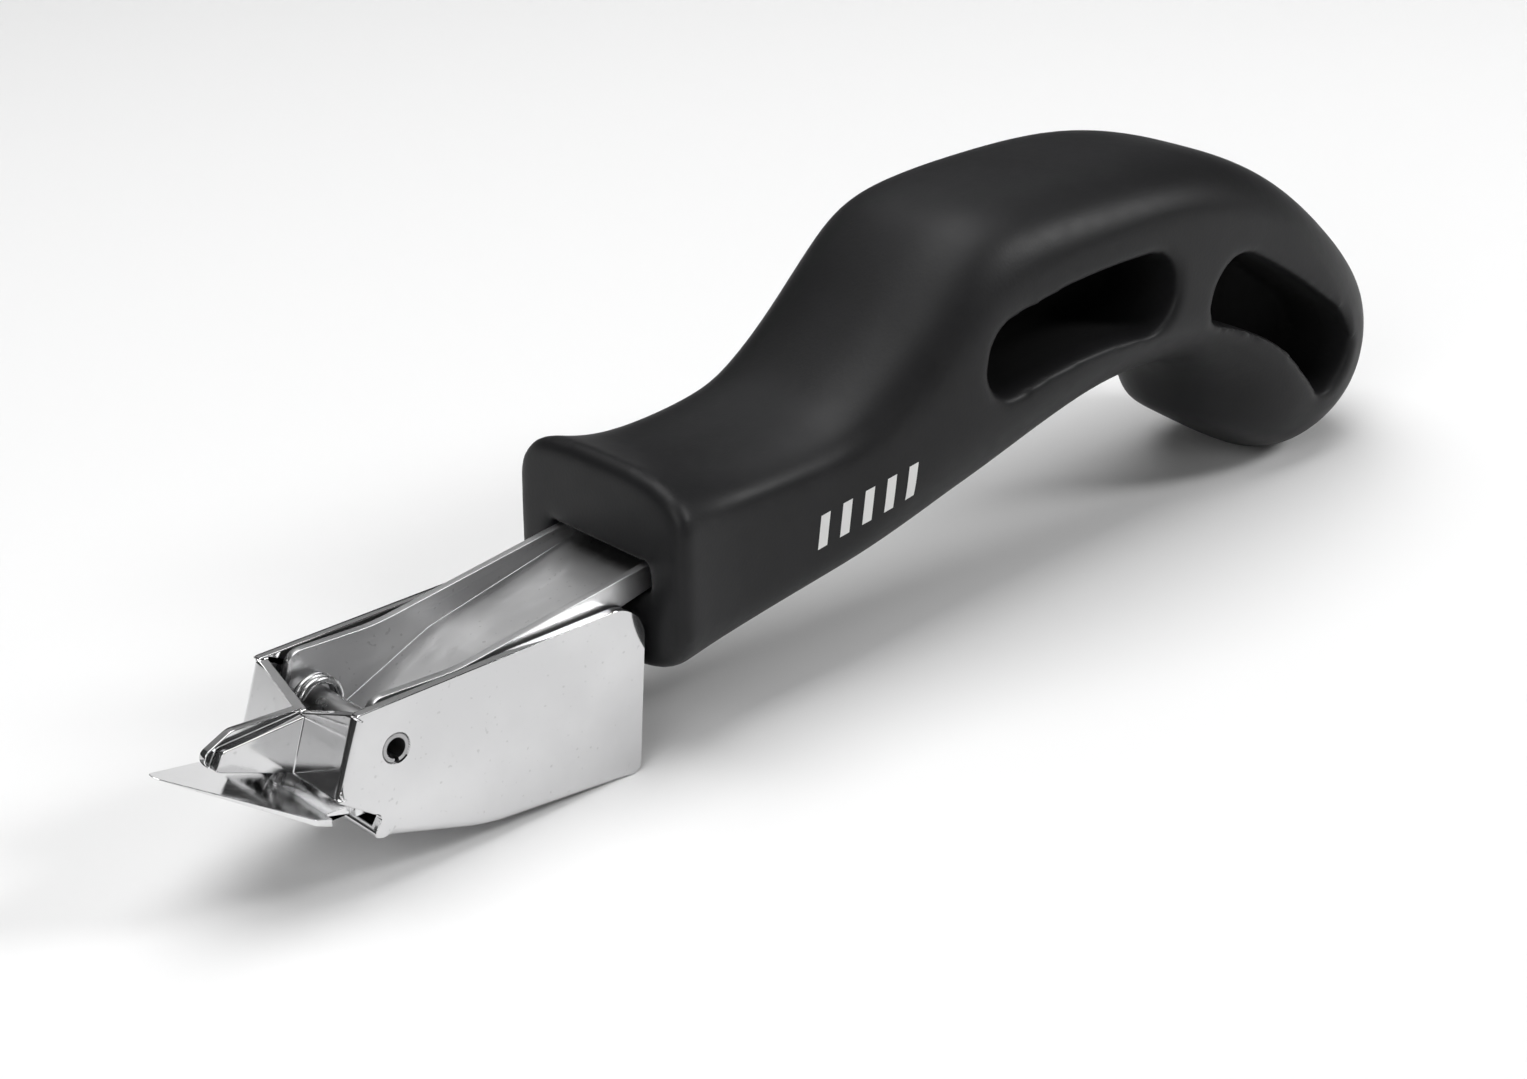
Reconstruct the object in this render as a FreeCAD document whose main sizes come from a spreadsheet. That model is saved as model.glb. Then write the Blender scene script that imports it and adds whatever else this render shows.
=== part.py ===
"""Lever staple remover: a sheet steel lever with a pointed blade, a toothed jaw housing
that turns on a roll pin, a torsion spring between them and a moulded handle.

The tool is modelled level, with the roll pin's axis on Y through the origin, the blade
towards -X and the handle towards +X.  Every sub-part then gets one common Placement,
which tips the tool onto its heel and its bulb, the way it lies on a table, and puts the
origin at the bottom centre of its bounding box.
"""
import FreeCAD, Part
import math
import os
import Sketcher
from FreeCAD import Placement, Rotation, Vector

os.makedirs("parts", exist_ok=True)
doc = FreeCAD.newDocument("staple_remover")

# ------------------------------------------------------------------ driving dimensions
SIZES = {
    "housing_width": (19.0, "jaw housing, outside width"),
    "housing_sheet": (1.1, "jaw housing, sheet thickness"),
    "arm_width": (15.8, "lever arm, width over the ears"),
    "arm_sheet": (1.0, "lever arm, sheet thickness"),
    "neck_width": (14.0, "lever arm, width between blade and ears"),
    "tooth_slit": (0.12, "gap between the two folded front flanges"),
    "pin_radius": (1.75, "roll pin, outside radius"),
    "pin_wall": (0.6, "roll pin, wall thickness"),
    "pin_slit": (0.7, "roll pin, width of its slit"),
    "pin_length": (18.8, "roll pin, length"),
    "pin_clearance": (0.05, "radial running clearance of the pin in the lever's ears"),
    "wire_radius": (0.45, "return spring, wire radius"),
    "coil_radius": (2.6, "return spring, mean coil radius"),
    "coil_pitch": (0.96, "return spring, pitch of its touching turns"),
    "coil_turns": (2.0, "return spring, number of turns"),
    "coil_start": (4.2, "return spring, lateral place of its first turn"),
    "tang_end": (54.0, "distance from the pin to the end of the tang"),
    "mouth_width": (17.4, "handle, width of the socket's mouth"),
    "mouth_depth": (6.0, "handle, depth of the socket's mouth"),
    "web": (5.0, "handle, web left between the side slots"),
    "table_tilt": (3.83, "angle between the housing's top and the table"),
}
sheet = doc.addObject("Spreadsheet::Sheet", "Sizes")
for row, (alias, (value, meaning)) in enumerate(SIZES.items(), start=1):
    sheet.set(f"A{row}", meaning)
    sheet.set(f"B{row}", str(value))
    sheet.setAlias(f"B{row}", alias)
doc.recompute()


def size(alias):
    """One driving dimension, read from the sheet."""
    return float(sheet.get(alias))


# ------------------------------------------------------------------ sketching helpers
FAR = 30.0  # reaches past the tool on any side


def rounded(corners):
    """Edges of a closed outline: each corner is (across, up, radius), radius 0 is sharp."""
    starts, ends, arcs = [], [], []
    count = len(corners)
    for i, (x, y, radius) in enumerate(corners):
        here = Vector(x, y, 0)
        back = Vector(*corners[i - 1][:2], 0) - here
        ahead = Vector(*corners[(i + 1) % count][:2], 0) - here
        back.normalize()
        ahead.normalize()
        half = back.getAngle(ahead) / 2
        if radius == 0 or math.pi / 2 - half < 0.01:
            starts.append(here)
            ends.append(here)
            arcs.append(None)
            continue
        reach = radius / math.tan(half)
        middle = (back + ahead).normalize() * (radius / math.sin(half) - radius)
        starts.append(here + back * reach)
        ends.append(here + ahead * reach)
        arcs.append(Part.Arc(starts[-1], here + middle, ends[-1]))
    edges = []
    for i in range(count):
        if arcs[i]:
            edges.append(arcs[i])
        edges.append(Part.LineSegment(ends[i], starts[(i + 1) % count]))
    return edges


def new_sketch(body, role, name, edges):
    """A sketch with these edges on one of the body's own origin planes."""
    sketch = body.newObject("Sketcher::SketchObject", name)
    plane = next(f for f in body.Origin.OriginFeatures if f.Role == role)
    sketch.AttachmentSupport = (plane, [""])
    sketch.MapMode = "FlatFace"
    for edge in edges:
        sketch.addGeometry(edge)
    return sketch


def feature(body, kind, name, role, edges, length, side="Symmetric"):
    """A Pad or Pocket of an outline; length is a number or an expression on the sheet."""
    sketch = new_sketch(body, role, name + "_sketch", edges)
    made = body.newObject("PartDesign::" + kind, name)
    made.Profile = sketch
    made.SideType = "Symmetric" if side == "Symmetric" else "One side"
    made.Reversed = side == "Reversed"
    if isinstance(length, str):
        made.setExpression("Length", length)
    else:
        made.Length = length
    sketch.Visibility = False
    doc.recompute()
    return made


def bore(body, name, radius):
    """A hole on the pin's axis through the whole body."""
    circle = [Part.Circle(Vector(0, 0, 0), Vector(0, 0, 1), 1.0)]
    sketch = new_sketch(body, "XZ_Plane", name + "_sketch", circle)
    sketch.addConstraint(Sketcher.Constraint("Radius", 0, 1.0))
    sketch.setExpression("Constraints[0]", radius)
    made = body.newObject("PartDesign::Pocket", name)
    made.Profile = sketch
    made.SideType = "Symmetric"
    made.Length = 2 * FAR
    doc.recompute()
    return made


# ------------------------------------------------------------------ jaw housing
# One pressing: two side walls, a sole that rocks, and two front flanges that meet in a
# crease and fold forward into a pair of teeth.
housing = doc.addObject("PartDesign::Body", "jaw_housing")
thick = size("housing_sheet")
bend_top = Vector(-4.5, 5.05, 0)        # where wall turns into flange, at the top
bend_foot = Vector(-7.25, -3.75, 0)     # the same at the flange's foot
heel_front = Vector(27.8, -13.93, 0)    # flat heel that stands on the table
heel_back = Vector(31.75, -13.93 + 3.95 * math.tan(math.radians(size("table_tilt"))), 0)
sole_bend = Vector(11.0, -13.1, 0)
sole_front = Vector(-3.4, -9.2, 0)

wall = [
    (bend_top.x, bend_top.y, 0.7),
    (32.95, 6.7, 4.2),
    (heel_back.x, heel_back.y, 1.4),
    (heel_front.x, heel_front.y, 0),
    (sole_bend.x, sole_bend.y, 25.0),
    (sole_front.x, sole_front.y, 0.5),
    (-2.0, -6.9, 0.5),
    (-3.1, -6.5, 0.4),
    (bend_foot.x, bend_foot.y, 0.4),
]
feature(housing, "Pad", "walls", "XZ_Plane", rounded(wall), "Sizes.housing_width")

lean = (bend_top.x - bend_foot.x) / (bend_top.y - bend_foot.y)
inner_x = bend_top.x + thick * math.hypot(1, lean)   # flange's inner face at the top edge


def flange_inside(up):
    """Place along X of the flange's inner face at a height."""
    return inner_x + (up - bend_top.y) * lean


inside = [
    (flange_inside(9.0), 9.0, 0),
    (flange_inside(-4.1), -4.1, 0),
    (-FAR, -4.1, 0),
    (-FAR, sole_front.y + thick, 0),
    (sole_front.x, sole_front.y + thick, 0),
    (sole_bend.x, sole_bend.y + thick, 24.0),
    (heel_front.x, heel_front.y + thick, 0),
    (2 * FAR, heel_front.y + thick + 2, 0),
    (2 * FAR, 9.0, 0),
]
feature(housing, "Pocket", "inside", "XZ_Plane", rounded(inside),
        "Sizes.housing_width - 2 * Sizes.housing_sheet")

half_inside = size("housing_width") / 2 - thick
crease_top = 2.25
dip = [
    (-half_inside, 9.0, 0),
    (-half_inside, bend_top.y - 0.2, 0),
    (0, crease_top, 0),
    (half_inside, bend_top.y - 0.2, 0),
    (half_inside, 9.0, 0),
]
feature(housing, "Pocket", "flange_dip", "YZ_Plane", rounded(dip), 12.0, "One side")

tooth_tip = (-16.1, -0.5, 0.4)
tooth_foot = (-6.9, bend_foot.y, 0)
near_tooth = [(-5.0, crease_top, 0), (-15.0, 1.45, 0.9), tooth_tip, tooth_foot]
far_tooth = [(-4.8, crease_top + 0.35, 0), (-13.2, 2.75, 2.0), (-16.9, 0.9, 1.0), tooth_tip,
             tooth_foot]
feature(housing, "Pad", "near_tooth", "XZ_Plane", rounded(near_tooth),
        "Sizes.housing_sheet + Sizes.tooth_slit / 2", "One side")
feature(housing, "Pad", "far_tooth", "XZ_Plane", rounded(far_tooth),
        "Sizes.housing_sheet + Sizes.tooth_slit / 2", "Reversed")
slit = [(-FAR, 6.0, 0), (-3.0, 6.0, 0), (-3.0, -6.0, 0), (-FAR, -6.0, 0)]
feature(housing, "Pocket", "crease_slit", "XZ_Plane", rounded(slit), "Sizes.tooth_slit")
bore(housing, "pin_holes", "Sizes.pin_radius")

# ------------------------------------------------------------------ lever arm
# One pressing: a pointed blade, a neck, two ears that hold the pin, and a channel that
# climbs backwards and ends in the tang inside the handle.
arm = doc.addObject("PartDesign::Body", "lever_arm")
gauge = size("arm_sheet")
valley = -5.95          # top of the sheet at its lowest, under the flanges
blade_root = -7.3
blade_rise = 0.4608     # slope of the blade's top face
grind_rise = 0.5077     # slope of its underside, which thins it to an edge
outline = [
    (blade_root, -8.4, 0.4),
    (-9.7, -9.15, 0.8),
    (-23.6, 0, 1.2),
    (-9.7, 9.15, 0.8),
    (blade_root, 8.4, 0.4),
]
feature(arm, "Pad", "blade_blank", "XY_Plane", rounded(outline), 18.0)
above = [
    (-FAR, valley + (FAR + blade_root) * blade_rise, 0),
    (blade_root, valley, 0),
    (0, valley, 0),
    (0, FAR, 0),
    (-FAR, FAR, 0),
]
feature(arm, "Pocket", "blade_top", "XZ_Plane", rounded(above), 2 * FAR)
below = [
    (-26.0, -5.65 + (26.0 - 9.6) * grind_rise, 0),
    (0, -5.65 - 9.6 * grind_rise, 0),
    (0, -FAR, 0),
    (-26.0, -FAR, 0),
]
feature(arm, "Pocket", "blade_grind", "XZ_Plane", rounded(below), 2 * FAR)

neck = [
    (-3.0, valley, 0),
    (blade_root, valley, 0),
    (-9.6, valley + 2.3 * blade_rise, 0),
    (-9.6, -5.75, 0),
    (-7.6, valley - gauge, 0),
    (-3.0, valley - gauge, 0),
]
feature(arm, "Pad", "neck", "XZ_Plane", rounded(neck), "Sizes.neck_width")

climb = 0.479           # slope of the floor between the ears
tang_climb = 0.2585     # slope of the floor behind them
bend = Vector(15.8, 3.0, 0)   # the floor's top where one slope meets the other
end = size("tang_end")


def floor_top(along):
    """Height of the channel's floor at a place behind the valley."""
    slope = tang_climb if along > bend.x else climb
    return bend.y + (along - bend.x) * slope


drop_steep = gauge * math.hypot(1, climb)
drop_tang = gauge * math.hypot(1, tang_climb)
bend_under = (drop_steep - drop_tang) / (climb - tang_climb)
foot = bend.x + (valley - bend.y) / climb
channel = [
    (-1.7, 5.3, 2.0),
    (9.3, 5.3, 25.0),
    (end, 13.0, 0),
    (end, floor_top(end) - drop_tang, 0),
    (bend.x + bend_under, bend.y + bend_under * tang_climb - drop_tang, 8.0),
    (foot + 0.25, valley - gauge, 1.5),
    (-4.3, valley - gauge, 0),
    (-4.3, valley + 0.2, 0.4),
]
feature(arm, "Pad", "channel", "XZ_Plane", rounded(channel), "Sizes.arm_width")
# the hollow starts at the ears: in front of them the blade and the neck stay whole
hollow = [
    (-4.4, valley, 0),
    (foot, valley, 1.5),
    (bend.x, bend.y, 7.0),
    (2 * FAR, floor_top(2 * FAR), 0),
    (2 * FAR, FAR, 0),
    (-4.4, FAR, 0),
]
feature(arm, "Pocket", "channel_hollow", "XZ_Plane", rounded(hollow),
        "Sizes.arm_width - 2 * Sizes.arm_sheet")
bore(arm, "ear_holes", "Sizes.pin_radius + Sizes.pin_clearance")

# ------------------------------------------------------------------ pivot pin
tube = doc.addObject("Part::Cylinder", "pin_tube")
tube.setExpression("Radius", "Sizes.pin_radius")
tube.setExpression("Height", "Sizes.pin_length")
core = doc.addObject("Part::Cylinder", "pin_core")
core.setExpression("Radius", "Sizes.pin_radius - Sizes.pin_wall")
core.setExpression("Height", "Sizes.pin_length")
gap = doc.addObject("Part::Box", "pin_gap")
gap.setExpression("Length", "Sizes.pin_slit")
gap.setExpression("Width", "Sizes.pin_radius * 2")
gap.setExpression("Height", "Sizes.pin_length")
gap.setExpression("Placement.Base.x", "-Sizes.pin_slit / 2")
open_space = doc.addObject("Part::Fuse", "pin_open_space")
open_space.Base, open_space.Tool = core, gap
rolled = doc.addObject("Part::Cut", "pin_rolled")
rolled.Base, rolled.Tool = tube, open_space
# the cylinder stands on Z; it is laid on the Y axis with its slit facing down
rolled.Placement = Placement(Vector(0, size("pin_length") / 2, 0), Rotation(Vector(1, 0, 0), 90))
pin = doc.addObject("Part::Compound", "pivot_pin_laid")
pin.Links = [rolled]

# ------------------------------------------------------------------ return spring
# Turns wound on the pin beside the far ear.  One leg presses forward on the inside of
# the flange, the other presses down on the lever's neck, so the jaw is held open.
radius, wire = size("coil_radius"), size("wire_radius")
turns, pitch, start = size("coil_turns"), size("coil_pitch"), size("coil_start")
upper_leg_end = Vector(flange_inside(-2.2) + wire + 0.08, start, -2.2)
lower_leg_end = Vector(-4.6, start, valley + wire + 0.05)


def tangent_point(tip, side):
    """Where a straight leg to the tip leaves the coil, seen along the pin."""
    reach = math.hypot(tip.x, tip.z)
    angle = math.atan2(tip.z, tip.x) + side * math.acos(radius / reach)
    return angle, Vector(radius * math.cos(angle), tip.y, radius * math.sin(angle))


upper_angle, upper_off = tangent_point(upper_leg_end, -1)
lower_angle = tangent_point(lower_leg_end, 1)[0]
# the coil runs from the upper leg, over the top of the pin, to the lower leg
sweep = (upper_angle - lower_angle) % (2 * math.pi) + 2 * math.pi * (turns - 1)
helix = Part.makeHelix(pitch, pitch * sweep / (2 * math.pi), radius, 0, False)
helix.rotate(Vector(0, 0, 0), Vector(1, 0, 0), -90)
helix.rotate(Vector(0, 0, 0), Vector(0, 1, 0), -math.degrees(upper_angle))
helix.translate(Vector(0, start, 0))
coil = helix.Edges[0]
coil_end = coil.valueAt(coil.LastParameter)
lower_leg_end.y = coil_end.y
centreline = Part.Wire([
    Part.LineSegment(upper_leg_end, upper_off).toShape(),
    coil,
    Part.LineSegment(coil_end, lower_leg_end).toShape(),
])
section = Part.Wire(Part.makeCircle(wire, upper_leg_end, upper_off - upper_leg_end))
spring = doc.addObject("Part::Feature", "return_spring")
spring.Shape = centreline.makePipeShell([section], True, True)

# ------------------------------------------------------------------ handle
# A swan-necked grip.  Each station is a section across the handle: the point on its top
# line, the point on its bottom line, its half-width and how square its outline is.
STATIONS = [
    # top x, z     bottom x, z     half-width, squareness
    (33.7, 20.6, 33.7, -3.4, 15.0, 3.4),
    (43.0, 18.6, 44.0, -2.2, 13.0, 3.2),
    (55.5, 19.8, 57.0, 0.3, 13.2, 3.0),
    (62.5, 23.0, 64.0, 1.6, 13.6, 2.9),
    (69.5, 29.2, 71.0, 3.0, 14.0, 2.8),
    (77.0, 36.6, 78.0, 4.7, 14.6, 2.7),
    (85.5, 40.0, 85.5, 6.8, 15.0, 2.6),
    (102.5, 41.0, 99.0, 11.1, 15.4, 2.5),
    (119.0, 39.9, 110.0, 12.7, 15.4, 2.5),
    (134.5, 34.8, 118.0, 12.4, 15.0, 2.5),
    (147.5, 26.0, 123.0, 10.2, 14.6, 2.5),
    (157.5, 15.8, 125.6, 7.2, 14.2, 2.5),
    (160.0, 6.0, 126.4, 4.4, 13.6, 2.4),
    (156.4, -0.6, 127.2, 2.4, 12.4, 2.3),
    (150.2, -4.6, 129.0, 1.0, 10.4, 2.2),
    (144.5, -6.1, 132.2, -0.8, 7.2, 2.1),
    (140.6, -5.6, 136.4, -3.2, 3.2, 2.0),
]
ROWS = 34    # control points along the grip
COLUMNS = 13  # control points from its top line to its bottom line


def through(points):
    """A smooth curve through points that count as one step apart each."""
    curve = Part.BSplineCurve()
    curve.interpolate(Points=points, Parameters=[float(i) for i in range(len(points))])
    return curve


top_line = through([Vector(s[0], 0, s[1]) for s in STATIONS])
bottom_line = through([Vector(s[2], 0, s[3]) for s in STATIONS])
girth = through([Vector(s[4], s[5], i) for i, s in enumerate(STATIONS)])


def half_section(at, side):
    """Control points of half a superellipse, from the top line to the bottom line."""
    top, bottom = top_line.value(at), bottom_line.value(at)
    half_width, squareness = girth.value(at).x, girth.value(at).y
    middle, half = (top + bottom) / 2, (top - bottom) / 2
    points = []
    for i in range(COLUMNS):
        turn = math.pi / 2 - math.pi * i / (COLUMNS - 1)
        across = 0 if i in (0, COLUMNS - 1) else math.cos(turn) ** (2 / squareness)
        up = math.copysign(abs(math.sin(turn)) ** (2 / squareness), math.sin(turn))
        if i in (1, COLUMNS - 2):
            up = math.copysign(1, up)   # level with the end point, so the halves meet smoothly
        points.append(middle + half * up + Vector(0, side * half_width * across, 0))
    return points


def even_knots(count):
    """Knots and multiplicities of an open cubic with this many control points."""
    spans = count - 3
    return [float(i) for i in range(spans + 1)], [4] + [1] * (spans - 1) + [4]


def skin(side):
    """The grip's surface on one side, from its face to the end of its bulb."""
    last = len(STATIONS) - 1
    poles = [half_section(last * i / (ROWS - 1), side) for i in range(ROWS)]
    row_knots, row_mults = even_knots(ROWS)
    column_knots, column_mults = even_knots(COLUMNS)
    surface = Part.BSplineSurface()
    surface.buildFromPolesMultsKnots(poles, row_mults, column_mults, row_knots,
                                     column_knots, False, False, 3, 3)
    return surface


near_skin, far_skin = skin(-1), skin(1)


def cap(at):
    """The flat face that closes the grip across one end."""
    rims = [surface.uIso(at).toShape() for surface in (near_skin, far_skin)]
    return Part.Face(Part.Wire(Part.__sortEdges__(rims)))


first_row, last_row = near_skin.bounds()[:2]
shell = Part.makeShell([near_skin.toShape(), far_skin.toShape(), cap(first_row), cap(last_row)])
shell.sewShape()
grip_solid = Part.makeSolid(shell)
if grip_solid.Volume < 0:
    grip_solid.reverse()
grip = doc.addObject("Part::Feature", "grip_blank")
grip.Shape = grip_solid

front_slot = [
    (79.4, 17.2, 4.0),
    (91.5, 20.2, 20.0),
    (101.0, 21.2, 20.0),
    (112.2, 20.2, 5.0),
    (112.2, 30.6, 5.0),
    (97.0, 31.0, 18.0),
    (80.6, 27.2, 4.6),
]
rear_slot = [
    (118.4, 19.6, 3.0),
    (127.2, 16.8, 8.0),
    (136.0, 12.0, 14.0),
    (144.6, 2.8, 2.4),
    (150.5, 8.5, 4.5),
    (147.0, 14.5, 8.0),
    (134.0, 23.2, 14.0),
    (120.8, 29.6, 5.4),
]
cutters = []
for name, corners in (("front_slot", front_slot), ("rear_slot", rear_slot)):
    for side, label in ((-1, "near"), (1, "far")):
        profile = doc.addObject("Sketcher::SketchObject", f"{name}_{label}_sketch")
        for edge in rounded(corners):
            profile.addGeometry(edge)
        profile.Placement = Placement(Vector(0, 0, 0), Rotation(Vector(1, 0, 0), 90))
        profile.setExpression("Placement.Base.y", f"{side} * Sizes.web / 2")
        cutter = doc.addObject("Part::Extrusion", f"{name}_{label}")
        cutter.Base = profile
        cutter.DirMode = "Custom"
        cutter.Dir = Vector(0, side, 0)
        cutter.LengthFwd = FAR
        cutter.Solid = True
        cutters.append(cutter)

# the socket: a wide mouth, then a close fit round the tang
socket = doc.addObject("PartDesign::Body", "socket_space")
face = STATIONS[0][0]


def arm_top(along):
    """Height of the channel walls' top edge behind the ears."""
    return 5.3 + (along - 9.3) * (13.0 - 5.3) / (end - 9.3)


deep = face + size("mouth_depth")
mouth = [
    (face - 3, floor_top(face - 3) - drop_tang - 0.5, 0),
    (deep, floor_top(deep) - drop_tang - 0.5, 0),
    (deep, arm_top(deep) + 0.5, 0),
    (face - 3, arm_top(face - 3) + 0.5, 0),
]
feature(socket, "Pad", "mouth", "XZ_Plane", rounded(mouth), "Sizes.mouth_width")
seat = [
    (face - 3, floor_top(face - 3) - drop_tang, 0),
    (end, floor_top(end) - drop_tang, 0),
    (end, arm_top(end), 0),
    (face - 3, arm_top(face - 3), 0),
]
feature(socket, "Pad", "tang_seat", "XZ_Plane", rounded(seat), "Sizes.arm_width")

spaces = doc.addObject("Part::MultiFuse", "handle_spaces")
spaces.Shapes = cutters + [socket]
handle = doc.addObject("Part::Cut", "handle")
handle.Base, handle.Tool = grip, spaces
doc.recompute()

# ------------------------------------------------------------------ lay it on the table
PARTS = {
    "handle": handle,
    "lever_arm": arm,
    "jaw_housing": housing,
    "pivot_pin": pin,
    "return_spring": spring,
}
tilt = Rotation(Vector(0, 1, 0), size("table_tilt"))
tipped = FreeCAD.BoundBox()
for obj in PARTS.values():
    shape = obj.Shape.copy()
    shape.Placement = Placement(Vector(0, 0, 0), tilt).multiply(shape.Placement)
    tipped.add(shape.optimalBoundingBox(False, False))
centre = tipped.Center
on_table = Placement(Vector(-centre.x, -centre.y, -tipped.ZMin), tilt)
for name, obj in PARTS.items():
    obj.Label = name
    obj.Placement = on_table
doc.recompute()

# ------------------------------------------------------------------ check and export
failed = [o.Name for o in doc.Objects if {"Invalid", "Error"} & set(o.State)]
if failed:
    raise RuntimeError(f"failed objects: {failed}")
for name, obj in PARTS.items():
    shape = obj.Shape
    if shape.isNull() or not shape.isValid() or len(shape.Solids) != 1:
        raise RuntimeError(f"{name}: null, invalid or not one solid ({len(shape.Solids)})")
for name, obj in PARTS.items():
    obj.Shape.exportStep(f"parts/{name}.step")
    print(f"{name:14s} {obj.Shape.Volume:10.1f} mm3  {obj.Shape.BoundBox}")
print("pin axis passes through", on_table.multVec(Vector(0, 0, 0)))
print("size", round(tipped.XLength, 2), round(tipped.YLength, 2), round(tipped.ZLength, 2))
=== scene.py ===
"""Looks of the lever staple remover: moulded grip, chromed pressings, roll pin and spring.

All the sizes below are millimetres in the tool's own frame, which has the roll pin's axis
on Y through its origin, the blade towards -X and the grip towards +X.  ToolFrame carries
them into the frame's metres, tipped onto the table.
"""
import logging
import math
from dataclasses import dataclass, field
from enum import Enum

import bmesh
import bpy
import numpy as np
from mathutils import Matrix, Vector


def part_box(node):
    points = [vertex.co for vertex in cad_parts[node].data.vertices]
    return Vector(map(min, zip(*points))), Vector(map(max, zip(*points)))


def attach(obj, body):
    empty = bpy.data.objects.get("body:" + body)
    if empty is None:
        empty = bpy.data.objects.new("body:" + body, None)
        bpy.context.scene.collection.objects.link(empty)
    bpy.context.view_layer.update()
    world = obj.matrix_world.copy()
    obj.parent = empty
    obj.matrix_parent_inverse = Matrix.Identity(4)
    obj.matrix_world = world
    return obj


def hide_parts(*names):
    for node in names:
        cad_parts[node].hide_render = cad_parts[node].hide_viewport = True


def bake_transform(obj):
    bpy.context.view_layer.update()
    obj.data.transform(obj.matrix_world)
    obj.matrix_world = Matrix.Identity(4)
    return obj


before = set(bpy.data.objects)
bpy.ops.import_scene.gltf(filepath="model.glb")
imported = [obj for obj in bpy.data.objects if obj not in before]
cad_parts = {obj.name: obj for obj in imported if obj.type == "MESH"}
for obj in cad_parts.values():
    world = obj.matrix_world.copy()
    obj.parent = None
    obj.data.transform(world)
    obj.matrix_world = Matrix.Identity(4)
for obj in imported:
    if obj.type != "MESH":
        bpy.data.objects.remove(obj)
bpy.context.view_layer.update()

log = logging.getLogger("staple_remover")
Link = bpy.types.NodeSocket


# ---------------------------------------------------------------- frame and mesh helpers
@dataclass(frozen=True)
class ToolFrame:
    """Turns the tool's own millimetres into the frame's metres."""

    tilt: float = math.radians(3.83)

    def pin(self) -> np.ndarray:
        """Centre of the roll pin, in metres."""
        low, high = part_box("pivot_pin")
        middle = (low + high) / 2
        return np.array([middle.x, 0.0, middle.z])

    def turned(self, points: np.ndarray) -> np.ndarray:
        """Directions turned about Y by the tilt: x' = x cos + z sin, z' = z cos - x sin."""
        c, s = math.cos(self.tilt), math.sin(self.tilt)
        x, y, z = np.moveaxis(np.asarray(points, float), -1, 0)
        return np.stack([x * c + z * s, y, z * c - x * s], axis=-1)

    def place(self, points: np.ndarray) -> np.ndarray:
        """Points in tool millimetres, turned, made metres and moved to the pin."""
        return self.turned(points) / 1000.0 + self.pin()

    def back(self, points: np.ndarray) -> np.ndarray:
        """The reverse of place: frame metres to tool millimetres."""
        x, y, z = np.moveaxis((np.asarray(points, float) - self.pin()) * 1000.0, -1, 0)
        c, s = math.cos(self.tilt), math.sin(self.tilt)
        return np.stack([x * c - z * s, y, z * c + x * s], axis=-1)


TOOL = ToolFrame()


def object_from(name: str, points: np.ndarray, faces: list) -> bpy.types.Object:
    """A linked mesh object from points in metres and lists of corner numbers.

    Args:
        name: the piece's name.
        points: an n by 3 array.
        faces: corner numbers of each face.

    Returns:
        The object, at the origin and untransformed.
    """
    mesh = bpy.data.meshes.new(name)
    mesh.from_pydata(points.tolist(), [], faces)
    mesh.update()
    made = bpy.data.objects.new(name, mesh)
    bpy.context.scene.collection.objects.link(made)
    return made


def grid_faces(rows: int, columns: int, wrap: bool) -> list:
    """Quads of a grid of points counted row by row; wrap joins the last column to the first."""
    across = columns if wrap else columns - 1
    i, j = np.meshgrid(np.arange(rows - 1), np.arange(across), indexing="ij")
    right = (j + 1) % columns
    quads = np.stack([i * columns + j, i * columns + right,
                      (i + 1) * columns + right, (i + 1) * columns + j], axis=-1)
    return quads.reshape(-1, 4).tolist()


def end_caps(rows: int, columns: int) -> list:
    """The two flat faces that close the first and last rows of a wrapped grid."""
    count = rows * columns
    return [list(range(columns)), list(range(count - 1, count - columns - 1, -1))]


def outward(obj: bpy.types.Object, merge: float = 1e-7) -> None:
    """Merges doubles and turns every face outwards."""
    bm = bmesh.new()
    bm.from_mesh(obj.data)
    bmesh.ops.remove_doubles(bm, verts=bm.verts, dist=merge)
    bmesh.ops.recalc_face_normals(bm, faces=bm.faces)
    bm.to_mesh(obj.data)
    bm.free()


def smooth(obj: bpy.types.Object) -> None:
    """Shades every face smooth."""
    obj.data.shade_smooth()


def apply_modifiers(obj: bpy.types.Object) -> None:
    """Bakes the object's modifiers into its mesh."""
    graph = bpy.context.evaluated_depsgraph_get()
    baked = bpy.data.meshes.new_from_object(obj.evaluated_get(graph))
    obj.modifiers.clear()
    obj.data = baked


def rounded_outline(corners: list, steps: int = 7) -> np.ndarray:
    """A closed outline whose corners (x, z, radius) are replaced by arcs.

    Each arc's centre lies on the corner's bisector at radius / sin(half angle), and its
    points sweep from one edge's foot to the other's.
    """
    points = []
    count = len(corners)
    for i, (x, z, radius) in enumerate(corners):
        here = np.array([x, z], float)
        back = np.array(corners[i - 1][:2]) - here
        ahead = np.array(corners[(i + 1) % count][:2]) - here
        back, ahead = back / np.linalg.norm(back), ahead / np.linalg.norm(ahead)
        half = math.acos(np.clip(back @ ahead, -1, 1)) / 2
        if radius == 0 or math.pi / 2 - half < 0.01:
            points.append(here[None])
            continue
        bisector = (back + ahead) / np.linalg.norm(back + ahead)
        centre = here + bisector * radius / math.sin(half)
        first = here + back * radius / math.tan(half) - centre
        last = here + ahead * radius / math.tan(half) - centre
        blend = np.linspace(0, 1, steps)[:, None]
        mixed = first * (1 - blend) + last * blend
        points.append(centre + mixed / np.linalg.norm(mixed, axis=1, keepdims=True) * radius)
    return np.concatenate(points)


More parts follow.
